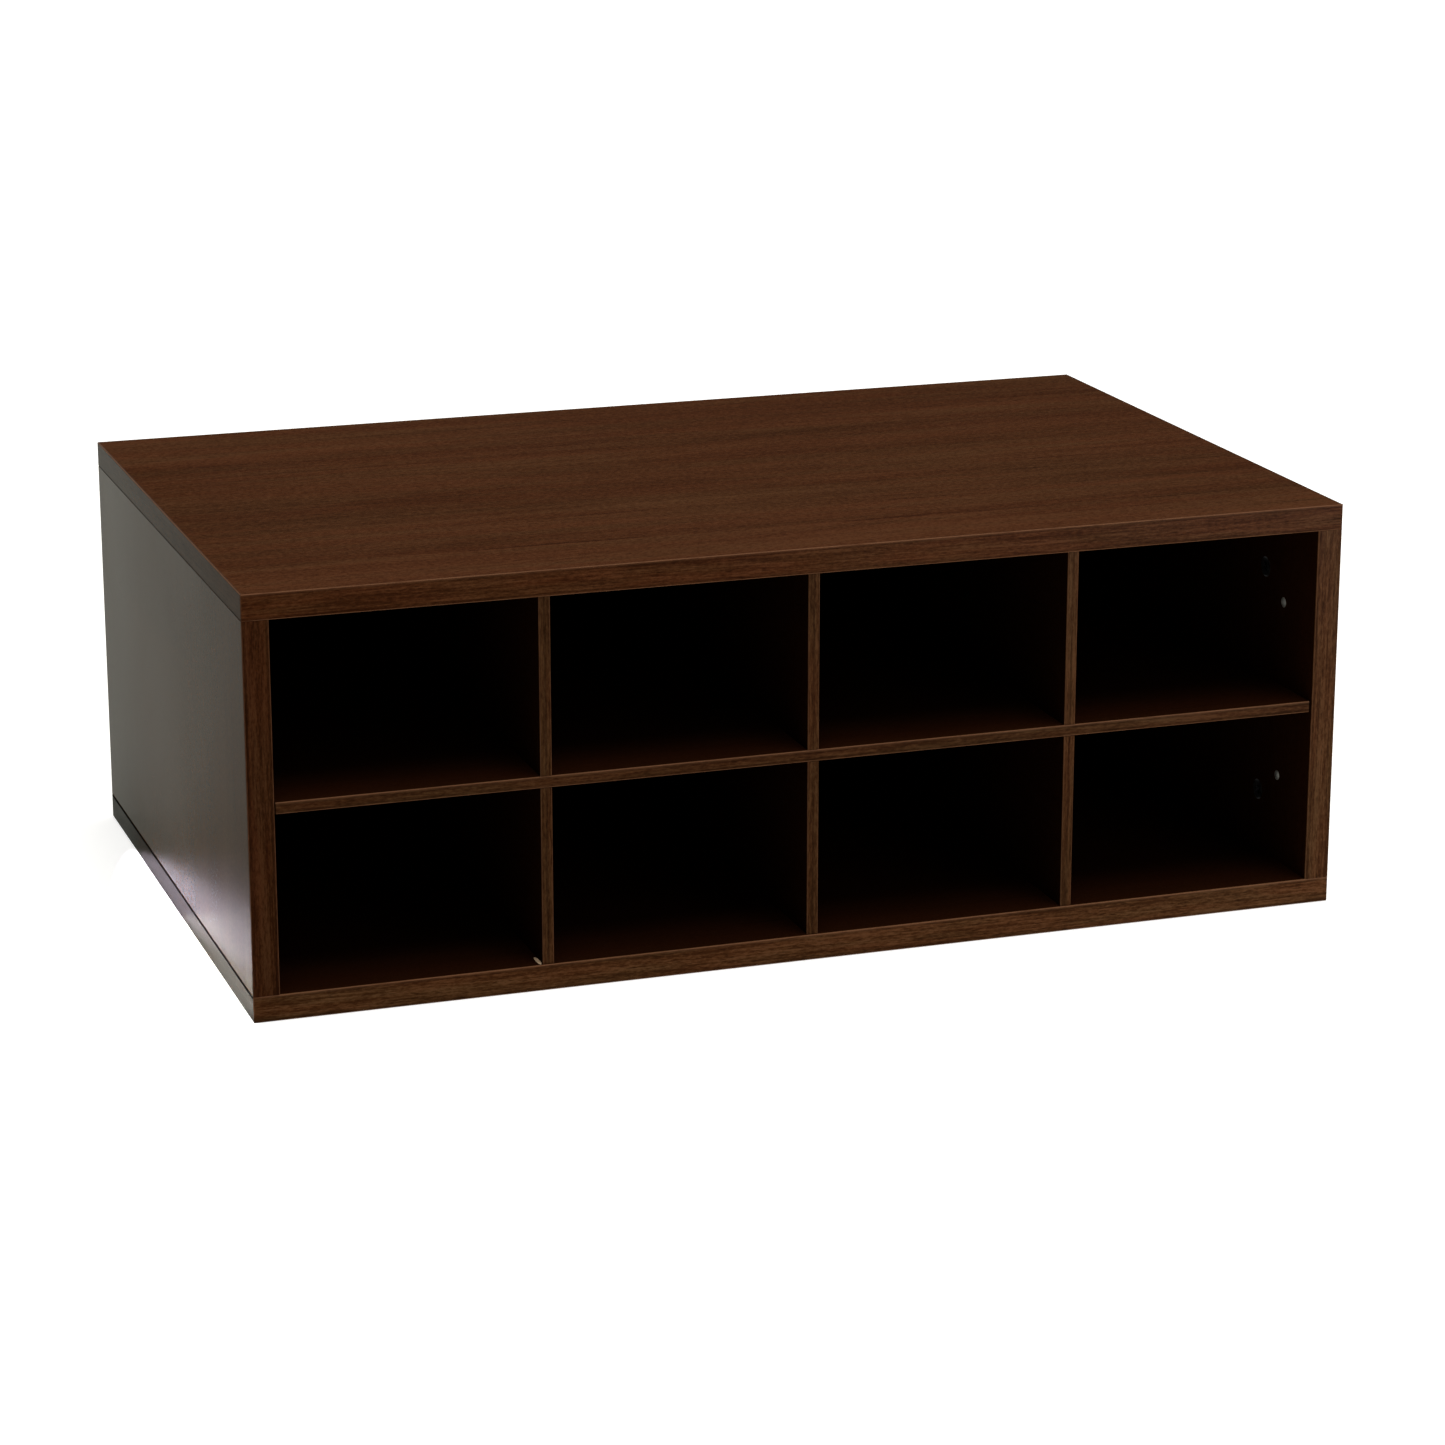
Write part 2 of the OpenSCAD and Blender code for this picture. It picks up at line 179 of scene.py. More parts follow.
class StudioSettings(bpy.types.PropertyGroup):
    """Floor, light and camera."""

    azimuth: FloatProperty(
        name="Azimuth", description="Camera's angle round the unit", default=math.radians(-18.93),
        subtype="ANGLE", unit="ROTATION",
    )
    elevation: FloatProperty(
        name="Elevation", description="Camera's angle above the floor", default=math.radians(16.15),
        subtype="ANGLE", unit="ROTATION",
    )
    distance: length_setting("Distance", "From the camera to the point that it faces", 2.913)
    aim: FloatVectorProperty(
        name="Aim", description="Point that the camera faces", default=(-0.0316, -0.1410, 0.1447),
        size=3, subtype="TRANSLATION", unit="LENGTH",
    )
    lens: FloatProperty(name="Lens", description="Focal length in millimetres", default=104.6, min=1.0)
    room: share_setting("Room light", "Strength of the even light from all round", 0.20)
    key: FloatProperty(name="Key light", description="Power of the large lamp", default=18.8, min=0.0)
    strip: FloatProperty(
        name="Strip light", description="Power of the rear one of the two narrow lamps by the left side",
        default=0.74, min=0.0,
    )
    strip_high: length_setting("Strip height", "Height of the narrow lamps above the floor", 0.20)
    sun: FloatProperty(name="Sky light", description="Strength of the soft light from above", default=2.85)
    floor: colour_setting("Floor", "Colour of the floor", (0.65, 0.645, 0.61))
    floor_glow: share_setting("Floor glow", "Brightness that the floor adds to what the eye sees", 0.56)
    glow_tint: colour_setting("Glow tint", "Colour of that added brightness", (0.88, 1.0, 0.86))
    floor_size: length_setting("Floor size", "Width of the floor", 60.0)
    front_share: share_setting("Front strip", "The front narrow lamp's share of the rear one's power", 0.36)
    hush: share_setting("Strip bounce", "Share of the narrow lamps' light that the floor sends back", 0.25)


def walnut_settings():
    return bpy.context.scene.cube_walnut


def core_settings():
    return bpy.context.scene.cube_core


def fitting_settings():
    return bpy.context.scene.cube_fittings


def studio_settings():
    return bpy.context.scene.cube_studio


# ---------------------------------------------------------------- node trees


class Signal:
    """A socket of a node tree. Arithmetic on signals adds the Math nodes that work it out."""

    def __init__(self, tree, socket):
        self.tree = tree
        self.socket = socket

    @classmethod
    def node(cls, tree, kind, settings=None, sockets=None, output=0):
        """Adds a node: its settings first, then the value or link of each socket that is named."""
        made = tree.nodes.new(kind)
        for name, value in (settings or {}).items():
            if name == "stops":
                cls.fill_ramp(made.color_ramp, value)
            else:
                setattr(made, name, value)
        for name, value in (sockets or {}).items():
            if isinstance(value, Signal):
                tree.links.new(value.socket, made.inputs[name])
            else:
                made.inputs[name].default_value = value
        return cls(tree, made.outputs[output])

    @staticmethod
    def fill_ramp(ramp, stops):
        """Gives a colour ramp its stops, each a position and a colour."""
        while len(ramp.elements) < len(stops):
            ramp.elements.new(1.0)
        for element, (position, colour) in zip(ramp.elements, stops):
            element.position = position
            element.color = (*colour, 1.0)

    def math(self, operation, *values, clamp=False):
        settings = {"operation": operation, "use_clamp": clamp}
        return Signal.node(self.tree, "ShaderNodeMath", settings, dict(enumerate(values)))

    def __add__(self, other):
        return self.math("ADD", self, other)

    def __sub__(self, other):
        return self.math("SUBTRACT", self, other)

    def __rsub__(self, other):
        return self.math("SUBTRACT", other, self)

    def __mul__(self, other):
        return self.math("MULTIPLY", self, other)

    def __truediv__(self, other):
        return self.math("DIVIDE", self, other)

    def __rtruediv__(self, other):
        return self.math("DIVIDE", other, self)

    def __pow__(self, other):
        return self.math("POWER", self, other)

    def __abs__(self):
        return self.math("ABSOLUTE", self)

    def __gt__(self, limit):
        return self.math("GREATER_THAN", self, limit)

    def __lt__(self, limit):
        return self.math("LESS_THAN", self, limit)

    __radd__ = __add__
    __rmul__ = __mul__

    def clamped(self):
        return self.math("ADD", self, 0.0, clamp=True)

    def rise(self, low, high):
        """0 below low and 1 above high, with an eased slope between them."""
        sockets = {"Value": self, "From Min": low, "From Max": high}
        settings = {"interpolation_type": "SMOOTHSTEP"}
        return Signal.node(self.tree, "ShaderNodeMapRange", settings, sockets)

    def axis(self, letter):
        """One component of a vector."""
        return Signal.node(self.tree, "ShaderNodeSeparateXYZ", None, {0: self}, letter)

    def scaled(self, size, place=(0.0, 0.0, 0.0)):
        """A vector stretched by size, then moved by place."""
        return Signal.node(
            self.tree, "ShaderNodeMapping", None, {"Vector": self, "Scale": size, "Location": place}
        )

    def noise(self, scale=1.0, detail=3.0, rough=0.5, distort=0.0):
        """Noise at this vector, about 0 to 1."""
        sockets = {
            "Vector": self, "Scale": scale, "Detail": detail, "Roughness": rough, "Distortion": distort
        }
        return Signal.node(self.tree, "ShaderNodeTexNoise", None, sockets)

    def blend(self, start, end):
        """The colour that lies this far from one colour to another."""
        settings = {"data_type": "RGBA", "clamp_factor": True}
        sockets = {0: self, MIX_A: opaque(start), MIX_B: opaque(end)}
        return Signal.node(self.tree, "ShaderNodeMix", settings, sockets, MIX_COLOUR)

    def tinted(self, other):
        """This colour multiplied by another, part by part."""
        return Signal.node(self.tree, "ShaderNodeVectorMath", {"operation": "MULTIPLY"}, {0: self, 1: other})

    def shaded(self, amount):
        """This colour with its brightness multiplied by a number or a signal."""
        sockets = {0: self, "Scale": amount}
        return Signal.node(self.tree, "ShaderNodeVectorMath", {"operation": "SCALE"}, sockets)


def opaque(colour):
    """A colour as a Mix node takes it."""
    return colour if isinstance(colour, Signal) else (*colour, 1.0)


def object_place(tree):
    """Where a point is in the part's own frame, in metres."""
    return Signal.node(tree, "ShaderNodeTexCoord", output="Object")


def facing(tree):
    """The direction in which the surface faces."""
    return Signal.node(tree, "ShaderNodeNewGeometry", output="Normal")


def along_axis(letter, along, across):
    """Stretch that gives a pattern one size along an axis and another across it."""
    return tuple(1 / along if axis == letter else 1 / across for axis in AXES)


def new_material(name):
    material = bpy.data.materials.new(name)
    material.use_nodes = True
    material.node_tree.nodes.clear()
    return material, material.node_tree


def close_material(tree, uniform, varying, relief=None, relief_deep=0.0):
    """Ends a material: numbers go on the shader's own sockets, signals are linked, relief is a bump."""
    sockets = dict(uniform)
    sockets.update(varying)
    if relief is not None:
        sockets["Normal"] = Signal.node(
            tree, "ShaderNodeBump", None, {"Strength": 1.0, "Distance": relief_deep, "Height": relief},
            "Normal",
        )
    shader = Signal.node(tree, "ShaderNodeBsdfPrincipled", None, sockets)
    show(tree, shader)


def show(tree, shader):
    out = tree.nodes.new("ShaderNodeOutputMaterial")
    tree.links.new(shader.socket, out.inputs["Surface"])


def give(material, *names):
    """Puts a material on CAD nodes, in their own material slots."""
    for name in names:
        node = NODES[name]
        if not node.material_slots:
            node.data.materials.append(material)
        for slot in node.material_slots:
            slot.material = material


# ---------------------------------------------------------------- finishes


def grain(place, along, seed):
    """The printed grain, its lines along one axis: (tone about 0 to 1, pores 0 to 1, hue 0 to 1)."""
    walnut = walnut_settings()
    long, wide = walnut.grain_long, walnut.grain_wide
    shift = (seed * 3.7, seed * 5.3, seed * 7.1)

    def layer(long_share, wide_share, detail, rough=0.5, distort=0.0):
        size = along_axis(along, long * long_share, wide * wide_share)
        return place.scaled(size, shift).noise(detail=detail, rough=rough, distort=distort)

    contour = layer(7.0, 20.0, 1.5, distort=0.5) * 44.0
    rings = contour.math("SINE", contour) * 0.5
    cloud = layer(4.0, 14.0, 2.0)
    lines = layer(1.0, 1.0, 4.0, 0.6)
    grit = layer(0.026, 0.55, 2.0, 0.7)
    sparse = layer(2.4, 5.0, 1.0).rise(0.50, 0.62)
    veins = layer(1.2, 0.9, 1.0, distort=0.3).rise(0.64, 0.74) * sparse
    dashes = layer(0.10, 0.24, 1.0)
    pores = (dashes.rise(0.60, 0.72) * lines.rise(0.35, 0.60) * 0.8 + veins * 0.7).clamped()
    tone = (
        0.5 + rings * 0.10 + (cloud - 0.5) * 0.7 + (lines - 0.5) * 0.6 + (grit - 0.5) * 1.8 - veins * 0.3
    )
    return tone, pores, layer(2.0, 6.0, 2.0)


def walnut_colour(tone, pores, hue):
    """The colour of the print, from dark to light grain, with darker pores and a drift of its hue."""
    walnut = walnut_settings()
    stops = [(0.10, walnut.dark), (0.50, walnut.middle), (0.90, walnut.light)]
    colour = Signal.node(tone.tree, "ShaderNodeValToRGB", {"stops": stops}, {0: tone.clamped()})
    drift = hue.rise(0.35, 0.65).blend(walnut.cool_tint, walnut.warm_tint)
    return colour.tinted(drift).shaded(1 - pores * 0.4)


def chipboard(place, thick_axis, middle, half):
    """Raw board at a rear edge: (colour, height). Its flakes are coarse in the core, fine at the faces."""
    core = core_settings()
    size = core.flake_size
    cells = Signal.node(
        place.tree, "ShaderNodeTexVoronoi", None,
        {"Vector": place.scaled((1 / size, 1 / size, 2.2 / size)), "Scale": 1.0}, "Color",
    )
    small = Signal.node(
        place.tree, "ShaderNodeTexVoronoi", None,
        {"Vector": place.scaled((2.6 / size, 2.6 / size, 4.0 / size)), "Scale": 1.0}, "Color",
    )
    outward = abs(place.axis(thick_axis) - middle) / half
    near_face = outward.rise(0.45, 0.75)
    pick = cells.axis("X") * (1 - near_face) + small.axis("X") * near_face
    dust = place.noise(scale=900.0, detail=3.0)
    tone = pick * 0.75 + dust * 0.35
    return tone.blend(core.flake_dark, core.flake_pale), pick * 0.6 + dust * 0.4


def worn_and_highlit(tree, place):
    """0 on a flat face and 1 where an arris turns, broken up a little: the mask of wear and of a painted
    highlight on the arrises.
    """
    normal = facing(tree)
    flat = normal.axis("X") ** 4.0 + normal.axis("Y") ** 4.0 + normal.axis("Z") ** 4.0
    return (1 - flat).rise(0.02, 0.35) * place.noise(scale=55.0, detail=4.0).rise(0.10, 0.55)


def board_finish(name, along, thick, seed, gloss, inside):
    """Foil-faced board: grain along one axis, a glue line behind the banding, raw flakes at the rear,
    painted shade on the faces inside the cells and on the sides, and on the sides a painted reflection that
    grows toward the rear and the top.
    """
    walnut, core = walnut_settings(), core_settings()
    low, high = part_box(name)
    material, tree = new_material("walnut_" + name)
    place = object_place(tree)
    tone, pores, hue = grain(place, along, seed)
    x, y, z = (place.axis(letter) for letter in AXES)
    if name == "top_panel":
        tone, pores, hue = pale_strip(place, low.y + walnut.strip_wide, tone, pores, hue)
    inner = walnut_inside(name, x, y, z)
    outer_calm = walnut.side_calm if along == "Z" else 1.0
    calm = inner * (walnut.inner_calm - outer_calm) + outer_calm
    tone, pores, hue = calmed(calm, tone, pores, hue)
    # Painted shade: the sides take a darker, greener copy of the print.
    outer_tint = walnut.side_shade_tint if along == "Z" else (1.0, 0.98, 0.91)
    # Painted shade: the faces inside the cells take a darker, redder copy of the print.
    tint = inner.blend(outer_tint, tuple(inside * part for part in walnut.inner_shade_tint))
    faced = walnut_colour(tone, pores, hue).tinted(tint)
    index = AXES.index(thick)
    raw, flakes = chipboard(place, thick, (low[index] + high[index]) / 2, (high[index] - low[index]) / 2)
    bare = y > high.y - core.foil_thick
    glue = y < low.y + 0.15 * MM
    colour = bare.blend((glue * 0.6).blend(faced, walnut.dark), raw)
    if name == "bottom_panel":
        colour = chip(place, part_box("divider_left")[0]).blend(colour, core.flake_pale)
    smudge = place.noise(scale=7.0, detail=3.0)
    haze = place.scaled((300.0, 90.0, 300.0)).noise(detail=1.0)
    seat = 1 - (z - low.z).rise(0.5 * MM, 1.0 * MM) if along == "Z" else 0.0
    rough = walnut.foil_rough + (tone - 0.5) * 0.12 + pores * 0.15 + bare * 0.4
    # Painted reflection: the sides' lacquer grows toward the rear and the top.
    painted_sheen = 1 + y * walnut.side_painted_sheen + (z - CAD_HIGH.z / 2) if along == "Z" else 1.0
    sheen = (0.77 + smudge * 0.36 + haze * 0.13) * painted_sheen * gloss
    lacquer = (1 - bare) * (1 - inner * (1 - walnut.face_gloss)) * (1 - seat * 0.9) * sheen
    height = (tone * 0.5 - pores) * (1 - bare) + flakes * bare * 3.0
    close_material(
        tree, {"Specular IOR Level": 0.0, "Coat Roughness": walnut.lacquer_rough},
        {"Base Color": colour, "Roughness": rough.clamped(), "Coat Weight": lacquer.clamped()},
        height, walnut.pore_deep * (0.25 if along == "Z" else 1.0),
    )
    give(material, name)


def chip(place, corner):
    """1 on a small chip in the foil of the bottom panel, beside the foot of a divider."""
    core = core_settings()
    x, y, z = (place.axis(letter) for letter in AXES)
    ragged = place.noise(scale=600.0, detail=2.0)
    along = (y - corner.y - core.chip_long * 0.45) / (core.chip_long / 2)
    across = (x - corner.x + core.chip_wide * 0.45) / (core.chip_wide / 2)
    return (along * along + across * across + (ragged - 0.5) * 0.6 < 1.0) * (z > corner.z - MM)


def calmed(share, tone, pores, hue):
    """The same grain with less contrast."""
    return (tone - 0.5) * share + 0.5, pores * share, (hue - 0.5) * share + 0.5


def pale_strip(place, edge, tone, pores, hue):
    """A paler strip of the print along the front, which ends at a broken dark vein."""
    wander = place.scaled(along_axis("X", 0.30, 1.0)).noise(detail=2.0) * 0.022 - 0.011
    away = place.axis("Y") + wander - edge
    strip = 1 - away.rise(-0.002, 0.004)
    broken = place.scaled(along_axis("X", 0.09, 0.010)).noise(detail=2.0).rise(0.50, 0.62)
    seam = (1 - abs(away).rise(0.0003, 0.0018)) * broken
    return tone + strip * 0.20 - seam * 0.35, (pores + seam * 0.8).clamped(), hue + strip * 0.08


def walnut_inside(name, x, y, z):
    """1 on the faces that line the cells, and 0 on the faces that are seen from outside."""
    low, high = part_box(name)
    if name == "top_panel":
        return z < low.z + MM
    if name == "bottom_panel":
        return z > high.z - MM
    if name == "left_side":
        return x > high.x - MM
    if name == "right_side":
        return x < low.x + MM
    return y > low.y


def banding_finish(name, along, seed, gloss, share):
    """Banding: short lines along the strip, a painted highlight with some wear on each eased arris, and a
    dark line beside it.
    """
    walnut = walnut_settings()
    low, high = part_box(name)
    material, tree = new_material("walnut_" + name)
    place = object_place(tree)
    shift = (seed * 3.7, seed * 5.3, seed * 7.1)

    def layer(long, wide, detail, rough):
        return place.scaled(along_axis(along, long, wide), shift).noise(detail=detail, rough=rough)

    stroke = layer(0.030, 0.0013, 3.0, 0.6)
    speck = layer(0.0042, 0.0012, 2.0, 0.7)
    drift = layer(0.200, 0.0060, 2.0, 0.5)
    pores = layer(0.008, 0.0008, 1.0, 0.5).rise(0.60, 0.72)
    tone = 0.5 + (stroke - 0.5) * 1.9 + (speck - 0.5) * 1.7 + (drift - 0.5) * 1.0
    hue = layer(0.090, 0.0080, 1.0, 0.5)
    if along == "Y":
        tone, pores, hue = calmed(walnut.side_calm, tone, pores, hue)
    across = AXES.index("X" if along == "Z" else "Z")
    middle, half = (low[across] + high[across]) / 2, (high[across] - low[across]) / 2
    edge = half - abs(place.axis(AXES[across]) - middle)
    beside, shade = walnut.shade_line, 0.28
    if along == "Z" and name in GRID_BANDING:
        beside = half
    at_foot = along == "Y" and name.startswith("bottom")
    if along == "Y":
        beside, shade = walnut.joint_line, 0.95 if at_foot else 0.20
        edge = high.z - place.axis("Z") if at_foot else place.axis("Z") - low.z
    line_wide = 0.9 * MM if at_foot else 0.5 * MM
    line = 1 - abs(edge - beside).rise(line_wide, line_wide + 0.5 * MM)
    wear = worn_and_highlit(tree, place)
    turned = abs(facing(tree).axis("Z")) > 0.2
    tint = walnut.tan_tint if name in TAN_BANDING else walnut.band_tint
    # The end banding takes the sides' darker, greener print: painted shade.
    if along == "Y":
        tint = walnut.side_shade_tint
    # The strip's brightness multiplies its print: painted light and shade.
    print_colour = walnut_colour(tone, pores, hue).tinted(tuple(share * part for part in tint))
    # Painted highlight on the arrises, partly wear: stronger where an arris faces up or down, and on the end
    # banding only on the upper arris.
    highlight_and_wear = wear * (0.45 + turned * 0.45)
    if along == "Y":
        highlight_and_wear = wear * (place.axis("Z") > middle) * (0.0 if at_foot else 1.0)
    if along == "X":
        # Painted highlight along the upper edge of the long banding.
        lip_highlight = 1 - (high.z - place.axis("Z")).rise(0.5 * MM, 2.2 * MM)
        highlight_and_wear = highlight_and_wear.math("MAXIMUM", highlight_and_wear, lip_highlight * walnut.lip_highlight_share)
    colour = highlight_and_wear.blend(print_colour.shaded(1 - line * shade), walnut.arris)
    rough = walnut.foil_rough + (tone - 0.5) * 0.15 - wear * 0.1
    # Painted reflection: the long banding's lacquer grows to the right, and the end banding's toward the
    # rear.
    length = (place.axis("X") - CAD_LOW.x) / (CAD_HIGH.x - CAD_LOW.x)
    painted_sheen = 0.2 + length * length * 0.35
    if along == "Y":
        painted_sheen = (1 + place.axis("Y") * walnut.side_painted_sheen) * 0.80
        if at_foot:
            painted_sheen = 0.55 + place.axis("Y").rise(0.12, 0.20) * 0.35
    sheen = (0.9 + (tone - 0.5) * 0.3 - pores * 0.3) * (1 - line * shade)
    lacquer = sheen * (1 - wear * 0.8) * painted_sheen * gloss
    close_material(
        tree, {"Specular IOR Level": 0.0, "Coat Roughness": walnut.lacquer_rough},
        {"Base Color": colour, "Roughness": rough.clamped(), "Coat Weight": lacquer.clamped()},
        tone * 0.5 - pores, walnut.pore_deep * 0.6,
    )
    give(material, name)


def back_finish():
    """Back panel: foil towards the cells, darkened as painted shade, and brown hardboard with a screen print
    behind.
    """
    walnut, core = walnut_settings(), core_settings()
    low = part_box("back_panel")[0]
    material, tree = new_material("hardboard_back")
    place = object_place(tree)
    tone, pores, hue = grain(place, "Z", 31)
    x, y, z = (place.axis(letter) for letter in AXES)
    behind = y > low.y + core.foil_thick
    turns = 2 * math.pi / core.screen_pitch
    screen = (x * turns).math("SINE", x * turns) * (z * turns).math("SINE", z * turns)
    fibre = place.scaled((420.0, 420.0, 420.0)).noise(detail=4.0, rough=0.65)
    cloud = place.noise(scale=9.0, detail=3.0)
    board = (fibre * 0.6 + cloud * 0.5 + screen * 0.08).rise(0.2, 0.9)
    brown = board.blend(tuple(c * 0.62 for c in core.hardboard), tuple(c * 1.35 for c in core.hardboard))
    # The foil towards the cells is darkened: painted shade.
    colour = behind.blend(walnut_colour(tone, pores, hue).shaded(walnut.back_shade), brown)
    rough = walnut.foil_rough + behind * 0.3 + (fibre - 0.5) * 0.1
    height = (tone * 0.5 - pores) * (1 - behind) + (screen * 0.8 + fibre * 0.8) * behind
    close_material(
        tree, {"Specular IOR Level": 0.04},
        {"Base Color": colour, "Roughness": rough.clamped()}, height, walnut.pore_deep * 1.5,
    )
    give(material, "back_panel")


def metal_finish(name, colour, rough, mottle, relief_deep, turned=None):
    """Metal: casting mottle or turned lines in its tone, its roughness and its relief."""
    material, tree = new_material(name)
    place = object_place(tree)
    cast = place.scaled((mottle, mottle, mottle)).noise(detail=5.0, rough=0.6)
    if turned:
        cast = cast * 0.4 + place.scaled(along_axis(turned, 0.0002, 0.02)).noise(detail=2.0) * 0.6
    tint = cast.rise(0.3, 0.7).blend(tuple(c * 0.72 for c in colour), colour)
    close_material(
        tree, {"Metallic": 1.0}, {"Base Color": tint, "Roughness": (rough + (cast - 0.5) * 0.3).clamped()},
        cast, relief_deep,
    )
    return material


def beech_finish():
    """Pressed beech dowels: pale wood with short brown rays along their length."""
    beech = fitting_settings().beech
    material, tree = new_material("beech_dowel")
    place = object_place(tree)
    rays = place.scaled(along_axis("Z", 0.006, 0.0004)).noise(detail=3.0, rough=0.6)
    colour = rays.rise(0.35, 0.7).blend(beech, tuple(c * 0.55 for c in beech))
    close_material(
        tree, {"Specular IOR Level": 0.3}, {"Base Color": colour, "Roughness": 0.55 + rays * 0.2},
        rays, 0.1 * MM,
    )
    return material


# ---------------------------------------------------------------- pieces


def cam_centres(name):
    """The face centres of one side's four cam locks, and the sign of the way that they face."""
    low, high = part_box(name)
    radius = fitting_settings().cam_radius
    inward = -1.0 if low.x > 0 else 1.0
    face = low.x if inward < 0 else high.x
    return [
        Vector((face, y, z))
        for y in (low.y + radius, high.y - radius)
        for z in (low.z + radius, high.z - radius)
    ], inward


def cam_teeth_tree(material):
    """Geometry Nodes: a ring of low teeth round each point, with one longer tooth as an index mark."""
    tree = bpy.data.node_groups.new("cam_teeth", "GeometryNodeTree")
    face = tree.interface
    face.new_socket("Geometry", in_out="INPUT", socket_type="NodeSocketGeometry")
    for name in ("Radius", "Length", "Width", "Height", "Tilt"):
        face.new_socket(name, in_out="INPUT", socket_type="NodeSocketFloat")
    face.new_socket("Count", in_out="INPUT", socket_type="NodeSocketInt")
    face.new_socket("Geometry", in_out="OUTPUT", socket_type="NodeSocketGeometry")
    entry = tree.nodes.new("NodeGroupInput")
    given = {socket.name: Signal(tree, socket) for socket in entry.outputs if socket.name}

    def vector(x=0.0, y=0.0, z=0.0):
        return Signal.node(tree, "ShaderNodeCombineXYZ", None, {"X": x, "Y": y, "Z": z})

    def tooth(length, top_share):
        sockets = {
            "Vertices": 4, "Side Segments": 1, "Fill Segments": 1,
            "Radius Top": top_share, "Radius Bottom": 1.0, "Depth": 1.0,
        }
        settings = {"fill_type": "NGON"}
        peg = Signal.node(tree, "GeometryNodeMeshCone", settings, sockets, "Mesh")
        square = Signal.node(
            tree, "GeometryNodeTransform", None, {"Geometry": peg, "Rotation": (0.0, 0.0, math.pi / 4)}
        )
        root = math.sqrt(0.5)
        size = vector(length * root, given["Width"] * root, given["Height"])
        return Signal.node(tree, "GeometryNodeTransform", None, {"Geometry": square, "Scale": size})

    count = given["Count"]
    step = 2 * math.pi / count
    index = Signal.node(tree, "GeometryNodeInputIndex")
    ring = Signal.node(
        tree, "GeometryNodeMeshCircle", {"fill_type": "NONE"},
        {"Vertices": count, "Radius": given["Radius"] - given["Length"] * 0.75},
    )
    spun = vector(z=index * step)
    teeth = Signal.node(
        tree, "GeometryNodeInstanceOnPoints", None,
        {"Points": ring, "Instance": tooth(given["Length"], 0.55), "Rotation": spun},
    )
    mark = Signal.node(
        tree, "GeometryNodeTransform", None,
        {
            "Geometry": tooth(given["Length"] * 2.4, 0.4),
            "Translation": vector(x=given["Radius"] - given["Length"] * 2.6),
            "Scale": (1.0, 1.5, 1.0),
        },
    )
    joined = tree.nodes.new("GeometryNodeJoinGeometry")
    for part in (mark, teeth):
        tree.links.new(part.socket, joined.inputs[0])
    whole = Signal(tree, joined.outputs[0])
    placed = Signal.node(
        tree, "GeometryNodeInstanceOnPoints", None,
        {"Points": given["Geometry"], "Instance": whole, "Rotation": vector(y=given["Tilt"])},
    )
    real = Signal.node(tree, "GeometryNodeRealizeInstances", None, {"Geometry": placed})
    dressed = Signal.node(
        tree, "GeometryNodeSetMaterial", None, {"Geometry": real, "Material": material}
    )
    leave = tree.nodes.new("NodeGroupOutput")
    tree.links.new(dressed.socket, leave.inputs[0])
    return tree


def baked(carrier, name):
    """The carrier's evaluated mesh as a plain object. The carrier and its modifier are removed."""
    bpy.context.view_layer.update()
    graph = bpy.context.evaluated_depsgraph_get()
    mesh = bpy.data.meshes.new_from_object(carrier.evaluated_get(graph))
    bpy.data.objects.remove(carrier)
    mesh.name = name
    piece = bpy.data.objects.new(name, mesh)
    bpy.context.scene.collection.objects.link(piece)
    return piece


def cam_teeth(side, tree):
    """The teeth on the faces of one side's cam locks, as one piece."""
    fittings = fitting_settings()
    centres, inward = cam_centres(side + "_cam_locks")
    mesh = bpy.data.meshes.new("cam_points")
    mesh.from_pydata(centres, [], [])
    carrier = bpy.data.objects.new("cam_points", mesh)
    bpy.context.scene.collection.objects.link(carrier)
    modifier = carrier.modifiers.new("teeth", "NODES")
    modifier.node_group = tree
    values = {
        "Radius": fittings.cam_radius, "Length": fittings.tooth_length, "Width": fittings.tooth_width,
        "Height": fittings.tooth_height, "Tilt": inward * math.pi / 2, "Count": fittings.tooth_count,
    }
    for item in tree.interface.items_tree:
        if item.in_out == "INPUT" and item.name in values:
            modifier[item.identifier] = values[item.name]
    piece = baked(carrier, side + "_cam_teeth")
    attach(piece, "carcass")
    return piece


# ---------------------------------------------------------------- operators


class CUBE_OT_carcass_boards(bpy.types.Operator):
    """Finish the top, the bottom and the two sides"""

    bl_idname = "cube.carcass_boards"
    bl_label = "Carcass boards"

    def execute(self, context):
        walnut = walnut_settings()
        board_finish("top_panel", "X", "Z", 1, walnut.face_gloss, walnut.wall_shade)
        board_finish("bottom_panel", "X", "Z", 2, walnut.face_gloss, walnut.floor_shade)
        board_finish("left_side", "Z", "X", 3, walnut.side_gloss, walnut.wall_shade)
        board_finish("right_side", "Z", "X", 4, walnut.side_gloss, walnut.wall_shade)
        return {"FINISHED"}


class CUBE_OT_banding(bpy.types.Operator):
    """Finish the banding of the carcass and of the grid"""

    bl_idname = "cube.banding"
    bl_label = "Edge banding"

    def execute(self, context):
        walnut, seed = walnut_settings(), 10
        for along, names in BANDING.items():
            gloss = walnut.side_gloss if along == "Y" else walnut.band_gloss
            for name, share in names.items():
                banding_finish(name, along, seed, gloss, share)
                seed += 1
        return {"FINISHED"}


class CUBE_OT_divider_grid(bpy.types.Operator):
    """Finish the dividers and the shelf"""

    bl_idname = "cube.divider_grid"
    bl_label = "Divider grid"

    def execute(self, context):
        walnut = walnut_settings()
        for seed, name in enumerate(("divider_left", "divider_middle", "divider_right"), 5):
            board_finish(name, "Y", "X", seed, walnut.face_gloss, walnut.grid_shade)
        board_finish("shelf", "X", "Z", 8, walnut.face_gloss, walnut.shelf_shade)
        return {"FINISHED"}


